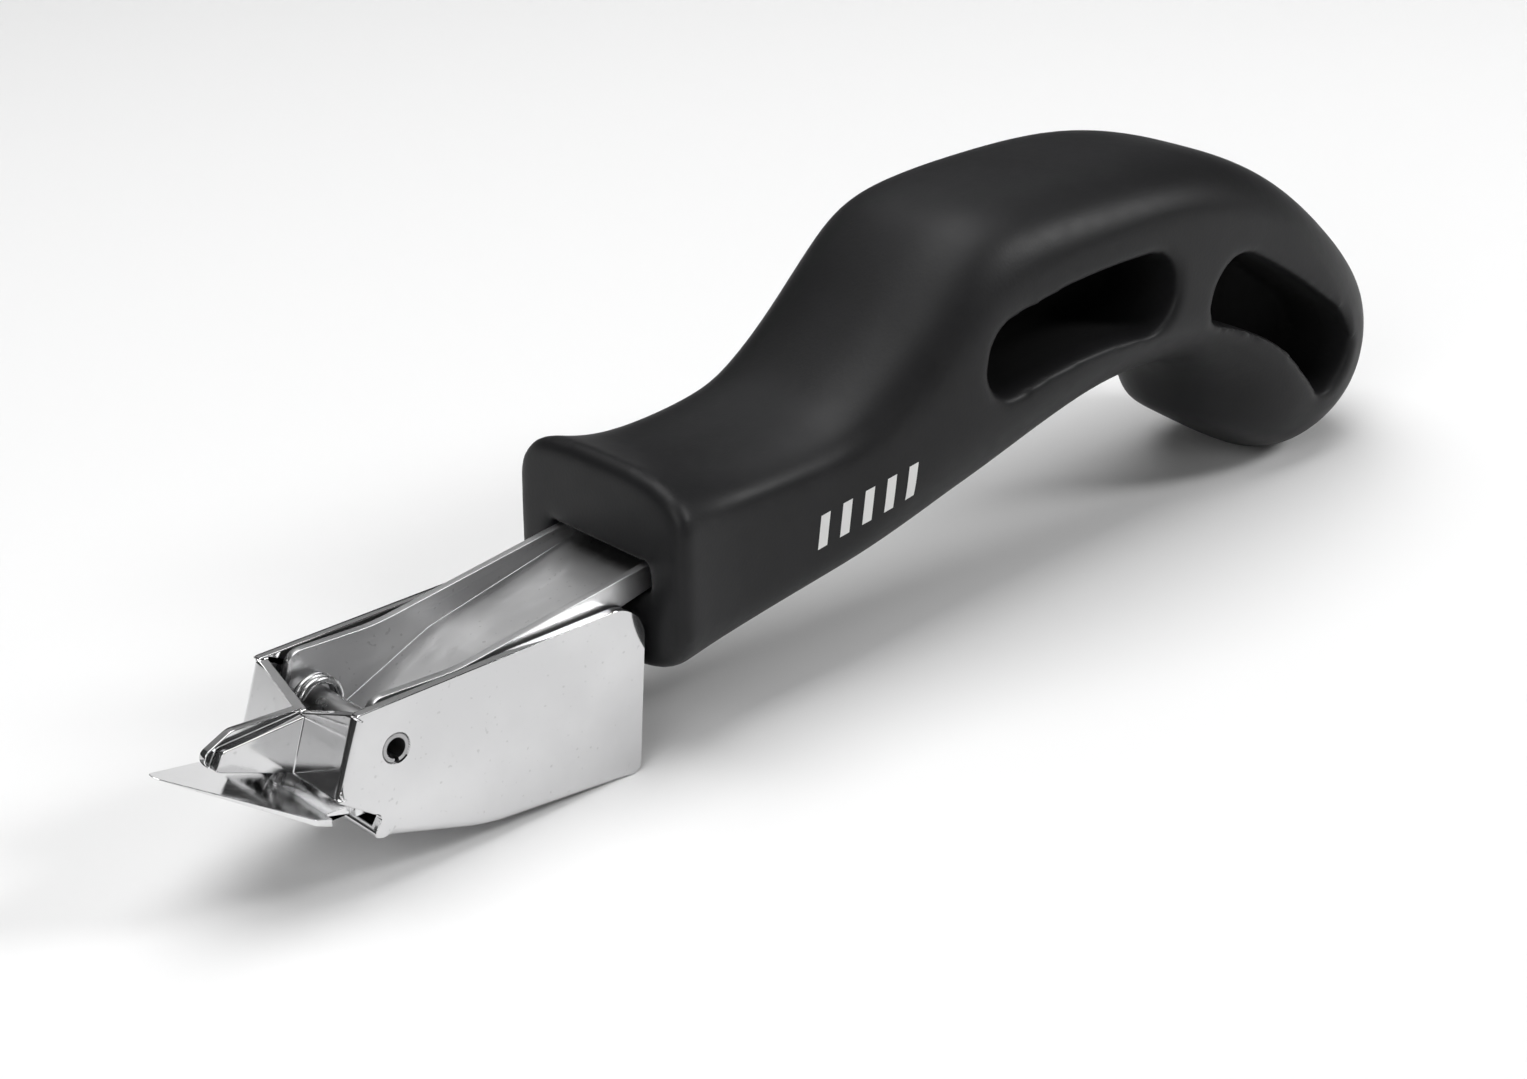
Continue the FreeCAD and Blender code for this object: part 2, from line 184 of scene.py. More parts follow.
def prism(outline: np.ndarray, low: float, high: float) -> tuple[np.ndarray, list]:
    """A closed outline in X and Z carried along Y between two places, with flat ends."""
    count = len(outline)
    y = np.repeat([low, high], count)
    points = np.column_stack([np.tile(outline[:, 0], 2), y, np.tile(outline[:, 1], 2)])
    return points, grid_faces(2, count, True) + end_caps(2, count)


# ---------------------------------------------------------------- shader wiring
class Value:
    """A number socket that the arithmetic operators build Math nodes on."""

    def __init__(self, shader: "Shader", socket: Link) -> None:
        """Keeps the shader tree and the socket."""
        self.shader, self.socket = shader, socket

    def _math(self, operation: str, *inputs: object) -> "Value":
        """A Math node with these inputs in order."""
        return self.shader.node("ShaderNodeMath", {"operation": operation},
                                dict(enumerate(inputs)))

    def __add__(self, other: object) -> "Value":
        """Sum."""
        return self._math("ADD", self, other)

    def __radd__(self, other: object) -> "Value":
        """Sum, reflected."""
        return self._math("ADD", other, self)

    def __sub__(self, other: object) -> "Value":
        """Difference."""
        return self._math("SUBTRACT", self, other)

    def __mul__(self, other: object) -> "Value":
        """Product."""
        return self._math("MULTIPLY", self, other)

    def __truediv__(self, other: object) -> "Value":
        """Quotient."""
        return self._math("DIVIDE", self, other)

    def __lt__(self, other: object) -> "Value":
        """One where it is less, else nought."""
        return self._math("LESS_THAN", self, other)

    def __abs__(self) -> "Value":
        """Size without sign."""
        return self._math("ABSOLUTE", self)

    def fract(self) -> "Value":
        """What is left after the whole number below."""
        return self._math("FRACT", self)

    def ramp(self, low: float, high: float) -> "Value":
        """Smooth step from nought at low to one at high."""
        return self.shader.node(
            "ShaderNodeMapRange", {"interpolation_type": "SMOOTHSTEP"},
            {"Value": self, "From Min": low, "From Max": high})


class Shader:
    """One material with a Principled surface and the few nodes that vary over it."""

    def __init__(self, name: str) -> None:
        """An empty tree holding the surface and the object's own coordinates."""
        self.material = bpy.data.materials.new(name)
        self.material.use_nodes = True
        self.tree = self.material.node_tree
        self.tree.nodes.clear()
        self.surface = self.tree.nodes.new("ShaderNodeBsdfPrincipled")
        output = self.tree.nodes.new("ShaderNodeOutputMaterial")
        self.tree.links.new(self.surface.outputs[0], output.inputs["Surface"])
        self.place = self.node("ShaderNodeTexCoord", {}, {}, "Object")

    def node(self, kind: str, settings: dict, inputs: dict, output: object = 0) -> Value:
        """Any node, its settings set first.

        Args:
            kind: the node's type name.
            settings: attributes of the node.
            inputs: socket names or numbers with values, Values or colours.
            output: name or number of the output to return.

        Returns:
            The output, wrapped.
        """
        made = self.tree.nodes.new(kind)
        for name, value in settings.items():
            setattr(made, name, value)
        for key, value in inputs.items():
            if isinstance(value, Value):
                self.tree.links.new(value.socket, made.inputs[key])
            else:
                made.inputs[key].default_value = value
        return Value(self, made.outputs[output])

    def set(self, **inputs: object) -> None:
        """Sets or links the surface's sockets; an underscore stands for a space."""
        for key, value in inputs.items():
            socket = self.surface.inputs[key.replace("_", " ")]
            if isinstance(value, Value):
                self.tree.links.new(value.socket, socket)
            else:
                socket.default_value = value

    def noise(self, scale: float, detail: float = 3.0, stretch: tuple = (1, 1, 1)) -> Value:
        """Fractal noise on the object's coordinates, about one half on average."""
        placed = self.node("ShaderNodeMapping", {}, {"Vector": self.place, "Scale": stretch})
        return self.node("ShaderNodeTexNoise", {},
                         {"Vector": placed, "Scale": scale, "Detail": detail})

    def axes(self) -> tuple[Value, Value, Value]:
        """The object's X, Y and Z, in metres."""
        split = self.tree.nodes.new("ShaderNodeSeparateXYZ")
        self.tree.links.new(self.place.socket, split.inputs[0])
        return tuple(Value(self, split.outputs[i]) for i in range(3))

    def mix(self, factor: object, first: object, second: object) -> Value:
        """A colour between two colours."""
        return self.node("ShaderNodeMix", {"data_type": "RGBA"},
                         {0: factor, 6: first, 7: second}, 2)

    def bump(self, height: Value, strength: float, distance: float,
             under: Value | None = None) -> Value:
        """Normals bent by a height, on top of another bump if one is given."""
        inputs = {"Height": height, "Strength": strength, "Distance": distance}
        if under is not None:
            inputs["Normal"] = under
        return self.node("ShaderNodeBump", {}, inputs)


def grey(level: float, blue: float = 0.0) -> tuple:
    """An opaque grey, a little blue if asked."""
    return (level, level, level + blue, 1.0)


# ---------------------------------------------------------------- finishes
@dataclass(frozen=True)
class PrintedBand:
    """A plain printed band on the grip's near side: five slanted bars and nothing else."""

    centre: tuple = (62.0, 10.7)
    slope: float = math.radians(13.0)
    bar_pitch: float = 3.2
    bar_share: float = 0.42
    bar_slant: float = 0.35
    bar_half_height: float = 1.9


@dataclass(frozen=True)
class SatinPlastic:
    """Black moulded plastic with a fine spark-eroded texture."""

    shade: float = 0.0080
    roughness: float = 0.47
    band: PrintedBand = field(default_factory=PrintedBand)

    def make(self) -> bpy.types.Material:
        """The material, with the printed band on the near side and painted shade deep in the
        slots.
        """
        sh = Shader("satin_black_plastic")
        x, y, z = sh.axes()
        pin = TOOL.pin()
        c, s = math.cos(TOOL.tilt), math.sin(TOOL.tilt)
        east, north = (x - pin[0]) * 1000.0, (z - pin[2]) * 1000.0
        band = self.band
        along_x = east * c - north * s - band.centre[0]
        along_z = north * c + east * s - band.centre[1]
        c, s = math.cos(band.slope), math.sin(band.slope)
        p = along_x * c + along_z * s
        q = along_z * c - along_x * s
        near = y < -0.006
        lean = (p - q * band.bar_slant) / band.bar_pitch + 0.5
        # the bars keep whole: they are counted on the leaning coordinate
        whole = abs(p - q * band.bar_slant) < band.bar_pitch * 2.5
        bars = (abs(lean.fract() - 0.5) < band.bar_share / 2) * whole
        bars = bars * (abs(q) < band.bar_half_height) * near
        cloud = sh.noise(55.0, 4.0)
        worn = sh.noise(420.0, 2.0)
        base = sh.mix(cloud.ramp(0.3, 0.75), grey(self.shade, 0.0006),
                      grey(self.shade * 1.55, 0.001))
        # painted shade: by the slot_depth mark the slots' insides go nearly black, and rougher
        deep = sh.node("ShaderNodeAttribute", {"attribute_name": "slot_depth"}, {}, "Fac")
        base = sh.mix(deep * 0.85, base, grey(0.0012))
        base = sh.mix(bars * 0.92, base, (0.74, 0.74, 0.73, 1.0))
        rough = self.roughness + (cloud - 0.5) * 0.10 + (worn - 0.5) * 0.08 + deep * 0.40
        fine = sh.bump(sh.noise(2600.0, 2.0), 0.22, 0.00006)
        broad = sh.bump(sh.noise(160.0, 3.0), 0.10, 0.0003, fine)
        sh.set(Base_Color=base, Roughness=rough, Normal=broad)
        sh.set(IOR=1.48, Specular_IOR_Level=0.25)
        return sh.material


@dataclass(frozen=True)
class Chrome:
    """Bright plate over pressed sheet: mirror-like, with faint drawing marks and haze."""

    name: str = "bright_chrome"
    shade: float = 0.65
    roughness: float = 0.06
    satin: float = 0.0

    def make(self) -> bpy.types.Material:
        """The material; satin is the extra roughness of a channel behind the ears."""
        sh = Shader(self.name)
        haze = sh.noise(70.0, 5.0)
        drawn = sh.noise(900.0, 2.0, (0.12, 1.0, 1.0))
        speck = sh.noise(1500.0, 1.0)
        tone = sh.mix(haze.ramp(0.35, 0.7), grey(self.shade * 0.95, 0.006),
                      grey(self.shade * 1.06, 0.004))
        pits = speck.ramp(0.70, 0.78)
        tone = sh.mix(pits * 0.35, tone, grey(0.34, 0.0))
        rough = self.roughness + haze.ramp(0.42, 0.75) * 0.07 + drawn.ramp(0.5, 0.8) * 0.05
        if self.satin:
            behind = sh.axes()[0].ramp(TOOL.pin()[0] - 0.006, TOOL.pin()[0] + 0.001)
            rough = rough + behind * self.satin
        ripple = sh.bump(sh.noise(38.0, 1.0), 0.16, 0.0004)
        marks = sh.bump(drawn, 0.05, 0.00003, ripple)
        sh.set(Base_Color=tone, Roughness=rough, Metallic=1.0, Normal=marks)
        return sh.material


@dataclass(frozen=True)
class PlainSteel:
    """Drawn or rolled steel with a dull oiled surface."""

    name: str
    shade: float
    roughness: float

    def make(self) -> bpy.types.Material:
        """The material."""
        sh = Shader(self.name)
        cloud = sh.noise(420.0, 4.0)
        tone = sh.mix(cloud, grey(self.shade * 0.7), grey(self.shade * 1.2, 0.005))
        rough = self.roughness + (cloud - 0.5) * 0.2
        marks = sh.bump(sh.noise(2200.0, 2.0, (1.0, 0.2, 1.0)), 0.12, 0.00004)
        sh.set(Base_Color=tone, Roughness=rough, Metallic=1.0, Normal=marks)
        return sh.material


@dataclass(frozen=True)
class PlainPaper:
    """The pale studio surface: matt, barely mottled."""

    shade: float = 0.86

    def make(self) -> bpy.types.Material:
        """The material."""
        sh = Shader("pale_paper")
        cloud = sh.noise(6.0, 3.0)
        sh.set(Base_Color=sh.mix(cloud, grey(self.shade * 0.99), grey(self.shade)),
               Roughness=0.85, Specular_IOR_Level=0.1)
        return sh.material


@dataclass(frozen=True)
class DarkCard:
    """Matt board, black or grey, that the chrome reflects."""

    shade: float = 0.01

    def make(self) -> bpy.types.Material:
        """The material."""
        sh = Shader("dark_card")
        sh.set(Base_Color=grey(self.shade), Roughness=0.9, Specular_IOR_Level=0.0)
        return sh.material


class Body(Enum):
    """The two bodies that the pivot joins."""

    LEVER = "lever"
    JAW = "jaw"


def finish_piece(obj: bpy.types.Object, material: bpy.types.Material, body: Body,
                 node: str) -> None:
    """Dresses a piece, ties it to its body and lets it stand for its node."""
    obj.data.materials.clear()
    obj.data.materials.append(material)
    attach(obj, body.value)
    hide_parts(node)
    log.info("%s: %d faces", obj.name, len(obj.data.polygons))


# ---------------------------------------------------------------- grip
STATIONS = np.array([
    # top x, z     bottom x, z     half-width, squareness
    (33.7, 20.6, 33.7, -3.4, 15.0, 3.4),
    (43.0, 18.6, 44.0, -2.2, 13.0, 3.2),
    (55.5, 19.8, 57.0, 0.3, 13.2, 3.0),
    (62.5, 23.0, 64.0, 1.6, 13.6, 2.9),
    (69.5, 29.2, 71.0, 3.0, 14.0, 2.8),
    (77.0, 36.6, 78.0, 4.7, 14.6, 2.7),
    (85.5, 40.0, 85.5, 6.8, 15.0, 2.6),
    (102.5, 40.9, 99.0, 11.1, 15.4, 2.5),
    (119.0, 39.9, 110.0, 12.7, 15.4, 2.5),
    (134.5, 34.8, 118.0, 12.4, 15.0, 2.5),
    (147.5, 26.0, 123.0, 10.2, 14.6, 2.5),
    (157.5, 15.8, 125.6, 7.2, 14.2, 2.5),
    (159.75, 6.0, 126.4, 4.4, 13.6, 2.4),
    (156.4, -0.6, 127.2, 2.4, 12.4, 2.3),
    (150.2, -4.6, 129.0, 1.0, 10.4, 2.2),
    (144.5, -6.1, 132.2, -0.8, 7.2, 2.1),
    (140.6, -5.6, 136.4, -3.2, 3.2, 2.0),
])


# above its middle the section is squarer, and its sides are planed flat: squareness of the
# upper half and the share of the half-width at which the flat side panel lies
SHOULDERS = np.array([
    (3.7, 0.970), (4.2, 0.955), (3.7, 0.955), (3.1, 0.975), (2.9, 0.990), (2.9, 0.980),
    (3.2, 0.955), (3.3, 0.948), (3.3, 0.948), (3.1, 0.952), (2.9, 0.960), (2.6, 0.975),
    (2.4, 0.990), (2.3, 1.000), (2.2, 1.000), (2.1, 1.000), (2.0, 1.000),
])


def spline(values: np.ndarray, at: np.ndarray) -> np.ndarray:
    """Natural cubic spline through rows of values one step apart.

    The second derivatives m solve m[i-1] + 4 m[i] + m[i+1] = 6 (v[i-1] - 2 v[i] + v[i+1]),
    with none at the ends, and each span is the usual cubic in them.
    """
    count = len(values)
    bands = np.eye(count)
    inner = np.arange(1, count - 1)
    bands[inner, inner - 1], bands[inner, inner], bands[inner, inner + 1] = 1, 4, 1
    right = np.zeros_like(values)
    right[1:-1] = 6 * (values[:-2] - 2 * values[1:-1] + values[2:])
    second = np.linalg.solve(bands, right)
    i = np.clip(at.astype(int), 0, count - 2)
    t = (at - i)[:, None]
    a, b = second[i], second[i + 1]
    return (values[i] * (1 - t) + values[i + 1] * t
            + ((1 - t) ** 3 - (1 - t)) * a / 6 + (t ** 3 - t) * b / 6)


@dataclass
class Grip:
    """The moulded handle: a swan-necked skin, four blind slots and the tang's socket."""

    rows: int = 190
    columns: int = 64
    lip: float = 2.2
    web: float = 5.0
    voxel: float = 0.49
    rounds: int = 24
    spread: float = 1.025
    crease: float = 0.022
    station_run: float = 9.6
    slot_top: float = 13.6
    slot_fade: float = 5.0
    slot_margin: float = 1.5
    front_slot: list = field(default_factory=lambda: [
        (79.4, 17.2, 4.0), (91.5, 20.2, 58.0), (101.0, 21.2, 46.0), (112.2, 20.2, 5.0),
        (112.2, 30.6, 5.0), (97.0, 31.0, 70.0), (80.6, 27.2, 4.6)])
    rear_slot: list = field(default_factory=lambda: [
        (118.4, 19.6, 3.0), (127.2, 16.8, 48.0), (136.0, 12.0, 31.0), (144.6, 2.8, 2.4),
        (150.5, 8.5, 4.5), (147.0, 14.5, 13.0), (134.0, 23.2, 105.0), (120.8, 29.6, 5.4)])
    socket: list = field(default_factory=lambda: [
        (30.7, 5.22, 0), (39.7, 7.54, 0), (39.7, 11.04, 0), (30.7, 9.49, 0)])
    socket_half: float = 8.7

    def skin(self) -> bpy.types.Object:
        """The closed skin.

        Each row is a superellipse about the middle of its station's top and bottom points,
        |across|^n + |up|^n = 1, with a larger n above the middle.  Its sides are planed by
        a smooth minimum, min(a, b) - k h^3 / 6 with h = max(k - |a - b|, 0) / k, which
        leaves a soft crease under the crown.  The first rows are drawn in by a quarter
        circle, so the rim of the front face is round.
        """
        last = len(STATIONS) - 1
        bend = np.linspace(0, math.pi / 2, 9)[:-1]
        reach = self.lip / self.station_run
        at = np.concatenate([reach * (1 - np.cos(bend)), np.linspace(reach, last, self.rows)])
        draw = np.concatenate([self.lip * (1 - np.sin(bend)), np.zeros(self.rows)])
        line = spline(STATIONS, at)
        top, bottom = line[:, None, 0:2], line[:, None, 2:4]
        middle, half = (top + bottom) / 2, (top - bottom) / 2
        length = np.linalg.norm(half, axis=-1, keepdims=True)
        half = half * (length - draw[:, None, None]) / length
        width = (line[:, 4] * self.spread - draw)[:, None]
        shoulder = spline(SHOULDERS, at)
        turn = np.linspace(0, 2 * math.pi, 2 * self.columns, endpoint=False)[None]
        power = 2 / np.where(np.cos(turn) > 0, shoulder[:, 0:1], line[:, 5][:, None])
        up = np.sign(np.cos(turn)) * np.abs(np.cos(turn)) ** power
        across = np.abs(np.sin(turn)) ** power
        plane = shoulder[:, 1:2]
        near = np.clip(1 - np.abs(across - plane) / self.crease, 0, None)
        across = np.minimum(across, plane) - self.crease * near ** 3 / 6
        across = np.sign(np.sin(turn)) * across * width
        flat = middle + half * up[..., None]
        points = np.stack([flat[..., 0], across, flat[..., 1]], axis=-1)
        rows, columns = points.shape[:2]
        faces = grid_faces(rows, columns, True) + end_caps(rows, columns)
        made = object_from("handle_moulding", TOOL.place(points.reshape(-1, 3)), faces)
        outward(made)
        return made

    def spaces(self) -> bpy.types.Object:
        """The slots and the socket's mouth, as one object to cut away."""
        points, faces = [], []
        start = 0
        solids = [prism(rounded_outline(outline, 12), *ends)
                  for outline in (self.front_slot, self.rear_slot)
                  for ends in ((-30.0, -self.web / 2), (self.web / 2, 30.0))]
        solids.append(prism(rounded_outline(self.socket), -self.socket_half, self.socket_half))
        for own_points, own_faces in solids:
            points.append(own_points)
            faces += [[corner + start for corner in face] for face in own_faces]
            start += len(own_points)
        made = object_from("handle_spaces", TOOL.place(np.concatenate(points)), faces)
        outward(made)
        return made

    def build(self) -> bpy.types.Object:
        """Cuts the skin, then rebuilds it in fine cells so that every lip comes out round."""
        grip, spaces = self.skin(), self.spaces()
        cut = grip.modifiers.new("cut", "BOOLEAN")
        cut.object, cut.operation, cut.solver = spaces, "DIFFERENCE", "EXACT"
        apply_modifiers(grip)
        bpy.data.objects.remove(spaces)
        cells = grip.modifiers.new("cells", "REMESH")
        cells.mode, cells.voxel_size = "VOXEL", self.voxel / 1000.0
        relax = grip.modifiers.new("relax", "SMOOTH")
        relax.factor, relax.iterations = 0.5, self.rounds
        apply_modifiers(grip)
        smooth(grip)
        self.mark_depth(grip)
        return grip

    def mark_depth(self, grip: bpy.types.Object) -> None:
        """Writes how deep in a slot each point lies, from nought at its lip to one, for the
        material's painted shade and extra roughness in the slots.

        A point is in a slot if it is within the slot's half-height of the line along its
        middle; its depth is how far its side distance falls short of the side panel.
        """
        count = len(grip.data.vertices)
        flat = np.empty(count * 3, np.float32)
        grip.data.vertices.foreach_get("co", flat)
        places = TOOL.back(flat.reshape(-1, 3))
        spines = [((86.0, 23.6), (106.5, 25.6), 6.6), ((123.0, 24.0), (134.5, 18.0), 6.6),
                  ((134.5, 18.0), (146.2, 8.2), 6.2)]
        inside = np.zeros(count)
        for first, last, reach in spines:
            start, run = np.array(first), np.array(last) - np.array(first)
            away = places[:, [0, 2]] - start
            share = np.clip(away @ run / (run @ run), 0, 1)[:, None]
            distance = np.linalg.norm(away - share * run, axis=1)
            within = (reach + self.slot_margin - distance) / self.slot_margin
            inside = np.maximum(inside, np.clip(within, 0, 1))
        fallen = (self.slot_top - np.abs(places[:, 1])) / self.slot_fade
        depth = np.clip(fallen, 0, 1) * inside
        mark = grip.data.attributes.new("slot_depth", "FLOAT", "POINT")
        mark.data.foreach_set("value", depth.astype(np.float32))


# ---------------------------------------------------------------- chromed pressings
# places in the jaw housing, in tool millimetres
HOLE_REACH = 2.2            # the pin's hole and its rim lie within this of the pin's axis
SOLE_TOP = -9.45            # the sole's folds lie below this
SOLE_HEEL = 30.0            # and in front of this
FLANGE_Z = (-3.6, 5.0)      # the flanges' folds lie between these heights
FLANGE_FRONT = -7.4         # and behind this
NOTCH_TOP = -9.0            # a sole fold that starts below this and ahead of the pin meets
                            # the notch


@dataclass
class Pressing:
    """A folded sheet piece: its CAD solid with round bends and eased edges."""

    node: str
    name: str
    edge_radius: float
    half_width: float = 9.5
    bend_radius: float = 0.0
    hold: float = 1.6

    def is_bend(self, middle: np.ndarray, normals: np.ndarray) -> bool:
        """Whether an edge is the outside of a fold.

        It lies on the piece's side, away from the pin's hole, and the face that isn't the
        side looks down, as the sole does, or squarely forward, as the flanges do.

        Args:
            middle: the edge's middle, in tool millimetres.
            normals: the two faces' normals in the tool's frame.
        """
        x, y, z = middle
        if abs(abs(y) - self.half_width) > 0.05 or math.hypot(x, z) < HOLE_REACH:
            return False
        other = normals[np.argmin(np.abs(normals[:, 1]))]
        under = other[2] < -0.9 and z < SOLE_TOP and x < SOLE_HEEL
        ahead = other[0] < -0.8 and FLANGE_Z[0] < z < FLANGE_Z[1] and x > FLANGE_FRONT
        return bool(under or ahead)

    def stop_short(self, edge: bmesh.types.BMEdge) -> None:
        """Splits a bend that reaches the notch, so that the fold dies out before it."""
        front = min(edge.verts, key=lambda vert: vert.co.x)
        place = TOOL.back(np.array(list(front.co)))
        if place[2] < NOTCH_TOP and place[0] < 0.0:
            share = self.hold / 1000.0 / edge.calc_length()
            bmesh.utils.edge_split(edge, front, share)

    def sharp(self, bm: bmesh.types.BMesh) -> list:
        """Edges whose two faces meet at more than 32 degrees."""
        return [edge for edge in bm.edges if len(edge.link_faces) == 2
                and edge.calc_face_angle() > math.radians(32)]

    def seen(self, edge: bmesh.types.BMEdge) -> tuple[np.ndarray, np.ndarray]:
        """An edge's middle and its faces' normals, in the tool's own frame."""
        ends = TOOL.back(np.array([list(v.co) for v in edge.verts]))
        normals = np.array([list(f.normal) for f in edge.link_faces])
        return ends.mean(axis=0), ToolFrame(-TOOL.tilt).turned(normals)

    def round_off(self, bm: bmesh.types.BMesh, edges: list, radius: float,
                  segments: int) -> None:
        """Rounds edges to a radius in millimetres."""
        bmesh.ops.bevel(bm, geom=edges, offset=radius / 1000.0, offset_type="OFFSET",
                        segments=segments, profile=0.5, affect="EDGES", clamp_overlap=False)

    def build(self) -> bpy.types.Object:
        """Copies the solid, joins its flat triangles and rounds bends and edges."""
        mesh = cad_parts[self.node].data.copy()
        made = bpy.data.objects.new(self.name, mesh)
        bpy.context.scene.collection.objects.link(made)
        bm = bmesh.new()
        bm.from_mesh(mesh)
        bmesh.ops.remove_doubles(bm, verts=bm.verts, dist=2e-6)
        bmesh.ops.dissolve_limit(bm, angle_limit=math.radians(0.6), verts=bm.verts,
                                 edges=bm.edges)
        if self.bend_radius:
            bends = [edge for edge in self.sharp(bm) if self.is_bend(*self.seen(edge))]
            for edge in bends:
                self.stop_short(edge)
            self.round_off(bm, bends, self.bend_radius, 5)
        # the rims of the pin's holes stay crisp
        eased = [edge for edge in self.sharp(bm)
                 if np.hypot(*self.seen(edge)[0][[0, 2]]) > HOLE_REACH]
        self.round_off(bm, eased, self.edge_radius, 2)
        bm.to_mesh(mesh)
        bm.free()
        even = made.modifiers.new("even", "WEIGHTED_NORMAL")
        even.keep_sharp = False
        smooth(made)
        apply_modifiers(made)
        return made


# ---------------------------------------------------------------- pin and spring
@dataclass
class RollPin:
    """A sheet rolled into a tube with a slit, its ends eased; its edges are marked sharp."""

    radius: float = 1.75
    wall: float = 0.6
    slit: float = 0.7
    length: float = 18.8
    ease: float = 0.25
    steps: int = 64

    def build(self) -> bpy.types.Object:
        """A C-shaped section carried along Y.

        The outer arc goes from one lip of the slit to the other and the inner arc comes
        back; towards each end the outer radius shrinks by the ease.
        """
        gap = math.asin(self.slit / 2 / self.radius)
        turn = np.linspace(gap, 2 * math.pi - gap, self.steps) - math.pi / 2
        stops = np.array([-0.5, -0.5, 0.5, 0.5]) * self.length
        stops += np.array([0.0, self.ease, -self.ease, 0.0])
        outer = self.radius - np.array([self.ease, 0.0, 0.0, self.ease]) * 0.8
        inner = np.full(4, self.radius - self.wall)
        radii = np.stack([np.repeat(outer[:, None], self.steps, 1),
                          np.repeat(inner[:, None], self.steps, 1)], axis=1)
        turns = np.stack([turn, turn[::-1]])[None]
        x, z = radii * np.cos(turns), radii * np.sin(turns)
        y = np.broadcast_to(stops[:, None, None], x.shape)
        points = np.stack([x, y, z], axis=-1).reshape(-1, 3)
        ring = 2 * self.steps
        faces = grid_faces(4, ring, True)
        i = np.arange(self.steps - 1)
        cap = np.stack([i, i + 1, ring - 2 - i, ring - 1 - i], axis=-1)
        faces += cap.tolist() + (cap[:, ::-1] + 3 * ring).tolist()
        made = object_from("roll_pin", TOOL.place(points), faces)
        outward(made)
        smooth(made)
        made.data.set_sharp_from_angle(angle=math.radians(40))
        return made


@dataclass
class ReturnSpring:
    """A torsion spring: two straight legs and the turns between them, in one wire."""

    radius: float = 2.6
    wire: float = 0.45
    pitch: float = 0.96
    turns: float = 2.0
    start: float = 4.2
    upper_tip: tuple = (-5.083, -2.2)
    lower_tip: tuple = (-4.6, -5.45)
    around: int = 14

    def leave(self, tip: tuple, side: int) -> float:
        """The angle at which a straight leg to the tip leaves the coil."""
        return math.atan2(tip[1], tip[0]) + side * math.acos(self.radius / math.hypot(*tip))

    def path(self) -> np.ndarray:
        """Points along the wire: a leg, a helix whose angle falls as Y grows, a leg."""
        first, last = self.leave(self.upper_tip, -1), self.leave(self.lower_tip, 1)
        sweep = (first - last) % (2 * math.pi) + 2 * math.pi * (self.turns - 1)
        turn = np.linspace(0, sweep, 120)
        y = self.start + self.pitch * turn / (2 * math.pi)
        coil = np.stack([self.radius * np.cos(first - turn), y,
                         self.radius * np.sin(first - turn)], axis=-1)
        ends = [np.array([tip[0], place, tip[1]])
                for tip, place in ((self.upper_tip, y[0]), (self.lower_tip, y[-1]))]
        share = np.linspace(0, 1, 10)[:-1, None]
        upper = ends[0] * (1 - share) + coil[0] * share
        lower = (ends[1] * (1 - share) + coil[-1] * share)[::-1]
        return np.concatenate([upper, coil, lower])

    def build(self) -> bpy.types.Object:
        """A circle carried along the path, its ends drawn in to half-round tips."""
        path = self.path()
        along = np.gradient(path, axis=0)
        along /= np.linalg.norm(along, axis=1, keepdims=True)
        side = np.cross(along, [0.0, 1.0, 0.0])
        side /= np.linalg.norm(side, axis=1, keepdims=True)
        over = np.cross(along, side)
        bend = np.linspace(0.12, math.pi / 2, 5)
        tip = self.wire * 0.6
        ends = [(path[0] + along[0] * tip * (1 - np.sin(bend))[:, None], np.sin(bend), 0),
                (path[-1] - along[-1] * tip * (1 - np.sin(bend[::-1]))[:, None],
                 np.sin(bend[::-1]), -1)]
        centre = np.concatenate([ends[0][0], path[1:-1], ends[1][0]])
        scale = np.concatenate([ends[0][1], np.ones(len(path) - 2), ends[1][1]])
        count = len(bend)
        side = np.concatenate([np.repeat(side[:1], count, 0), side[1:-1],
                               np.repeat(side[-1:], count, 0)])
        over = np.concatenate([np.repeat(over[:1], count, 0), over[1:-1],
                               np.repeat(over[-1:], count, 0)])
        turn = np.linspace(0, 2 * math.pi, self.around, endpoint=False)
        ring = (side[:, None] * np.cos(turn)[None, :, None]
                + over[:, None] * np.sin(turn)[None, :, None])
        points = centre[:, None] + ring * (self.wire * scale)[:, None, None]
        rows = len(centre)
        faces = grid_faces(rows, self.around, True) + end_caps(rows, self.around)
        made = object_from("spring_wire", TOOL.place(points.reshape(-1, 3)), faces)
        outward(made)
        smooth(made)
        return made


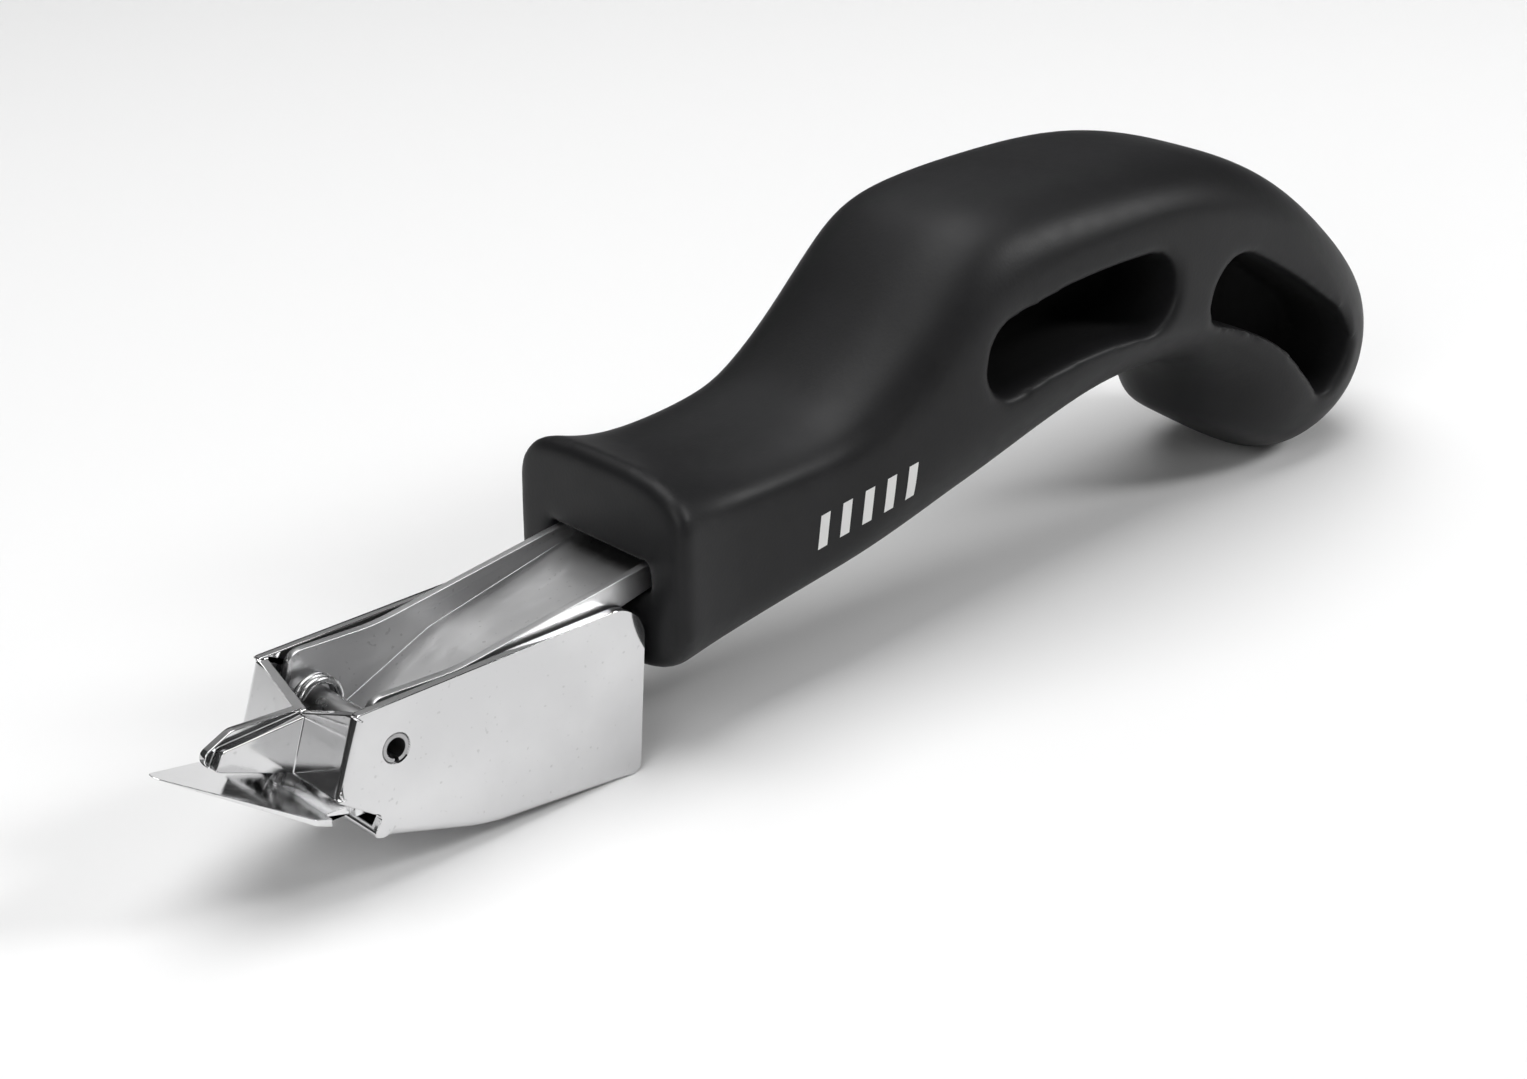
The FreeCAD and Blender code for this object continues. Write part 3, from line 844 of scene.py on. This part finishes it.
# ---------------------------------------------------------------- studio
@dataclass
class Studio:
    """A pale floor, a dim surround, soft boxes and the dark cards that chrome needs."""

    camera_place: tuple = (-143.4, -225.5, 132.4)
    azimuth: float = math.radians(41.8)
    elevation: float = math.radians(23.1)
    lens: float = 36.0 * 2850.0 / 1527.0

    def floor(self) -> bpy.types.Object:
        """A wide flat sheet just under the tool."""
        points = np.array([(-6, -6, 0), (6, -6, 0), (6, 6, 0), (-6, 6, 0)], float)
        points[:, 2] = -0.00002
        made = object_from("floor", points, [[0, 1, 2, 3]])
        made.data.materials.append(PlainPaper().make())
        return made

    def card(self, name: str, centre: tuple, facing: tuple, width: float,
             height: float, shade: float = 0.01) -> bpy.types.Object:
        """A dark or grey board facing a point, both in metres."""
        middle = Vector(centre)
        turn = (Vector(facing) - middle).to_track_quat("Z", "Y").to_matrix()
        corners = [(-1, -1), (1, -1), (1, 1), (-1, 1)]
        points = np.array([list(middle + turn @ Vector((a * width / 2, b * height / 2, 0)))
                           for a, b in corners])
        made = object_from(name, points, [[0, 1, 2, 3]])
        made.data.materials.append(DarkCard(shade).make())
        return made

    def light(self, name: str, place: tuple, target: tuple, size: float,
              power: float) -> bpy.types.Object:
        """A square soft box aimed at a point."""
        data = bpy.data.lights.new(name, "AREA")
        data.shape, data.size, data.energy = "SQUARE", size, power
        made = bpy.data.objects.new(name, data)
        made.location = place
        aim = Vector(target) - Vector(place)
        made.rotation_euler = aim.to_track_quat("-Z", "Y").to_euler()
        bpy.context.scene.collection.objects.link(made)
        return made

    def world(self) -> None:
        """A dim grey surround, a little brighter overhead than at the horizon."""
        world = bpy.data.worlds.new("surround")
        world.use_nodes = True
        tree = world.node_tree
        glow = tree.nodes["Background"]
        where = tree.nodes.new("ShaderNodeTexCoord")
        split = tree.nodes.new("ShaderNodeSeparateXYZ")
        ramp = tree.nodes.new("ShaderNodeMapRange")
        ramp.inputs["From Min"].default_value = -0.1
        ramp.inputs["From Max"].default_value = 0.9
        ramp.inputs["To Min"].default_value = 0.98
        ramp.inputs["To Max"].default_value = 1.30
        tree.links.new(where.outputs["Generated"], split.inputs[0])
        tree.links.new(split.outputs["Z"], ramp.inputs["Value"])
        tree.links.new(ramp.outputs["Result"], glow.inputs["Strength"])
        bpy.context.scene.world = world

    def camera(self) -> bpy.types.Object:
        """The camera, set by its azimuth, elevation and place in the tool's frame."""
        az, el = self.azimuth, self.elevation
        right = (math.cos(az), -math.sin(az), 0.0)
        up = (math.sin(az) * math.sin(el), math.cos(az) * math.sin(el), math.cos(el))
        back = (-math.sin(az) * math.cos(el), -math.cos(az) * math.cos(el), math.sin(el))
        turned = TOOL.turned(np.array([right, up, back]))
        data = bpy.data.cameras.new("camera")
        data.lens, data.sensor_width, data.sensor_fit = self.lens, 36.0, "HORIZONTAL"
        data.clip_start, data.clip_end = 0.01, 50.0
        made = bpy.data.objects.new("camera", data)
        place = TOOL.place(np.array(self.camera_place))
        made.matrix_world = Matrix.Translation(Vector(place)) @ Matrix(turned.T.tolist()).to_4x4()
        bpy.context.scene.collection.objects.link(made)
        bpy.context.scene.camera = made
        return made

    def build(self) -> None:
        """Makes everything that isn't the tool."""
        camera = self.camera()
        eye = camera.matrix_world.translation
        behind = eye + camera.matrix_world.to_3x3() @ Vector((0.0, 0.0, 0.06))
        target = (-0.07, 0.0, 0.015)
        cards = [
            self.card("card_camera", tuple(behind), target, 0.10, 0.13),
            self.card("card_left", (-0.62, 0.10, 0.16), target, 0.05, 0.5),
            self.card("card_front", (-0.333, -0.246, 0.026), target, 0.024, 0.016),
            self.card("card_back", (0.27, 0.60, 0.58), target, 0.9, 0.5, 0.47),
        ]
        lights = [
            self.light("box_over", (0.0, 0.10, 0.85), (0, 0, 0), 0.8, 7.0),
            self.light("box_right", (0.55, -0.52, 0.50), (0.02, 0, 0.02), 0.22, 3.4),
            self.light("box_left", (-0.60, -0.35, 0.45), (0, 0, 0.02), 0.45, 2.2),
        ]
        self.world()
        self.floor()
        bpy.context.scene.view_settings.view_transform = "Standard"


def main() -> None:
    """Builds each piece in order and reports it, then the studio."""
    logging.basicConfig(level=logging.INFO, format="%(name)s %(message)s")
    finish_piece(Grip().build(), SatinPlastic().make(), Body.LEVER, "handle")
    arm = Pressing("lever_arm", "lever_pressing", 0.08)
    dull = Chrome("satin_chrome", 0.72, 0.07, 0.24)
    finish_piece(arm.build(), dull.make(), Body.LEVER, "lever_arm")
    housing = Pressing("jaw_housing", "jaw_pressing", 0.12, bend_radius=1.0)
    finish_piece(housing.build(), Chrome().make(), Body.JAW, "jaw_housing")
    finish_piece(RollPin().build(), PlainSteel("rolled_steel", 0.42, 0.30).make(), Body.JAW,
                 "pivot_pin")
    spring = ReturnSpring().build()
    spring.data.materials.append(PlainSteel("spring_steel", 0.46, 0.28).make())
    tuple(TOOL.place(np.array([0.0, 1.1, 0.0])))
    tuple(TOOL.place(np.array([-0.99, 0.11, 0.0])))
    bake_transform(spring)
    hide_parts("return_spring")
    Studio().build()


if __name__ == "__main__":
    main()
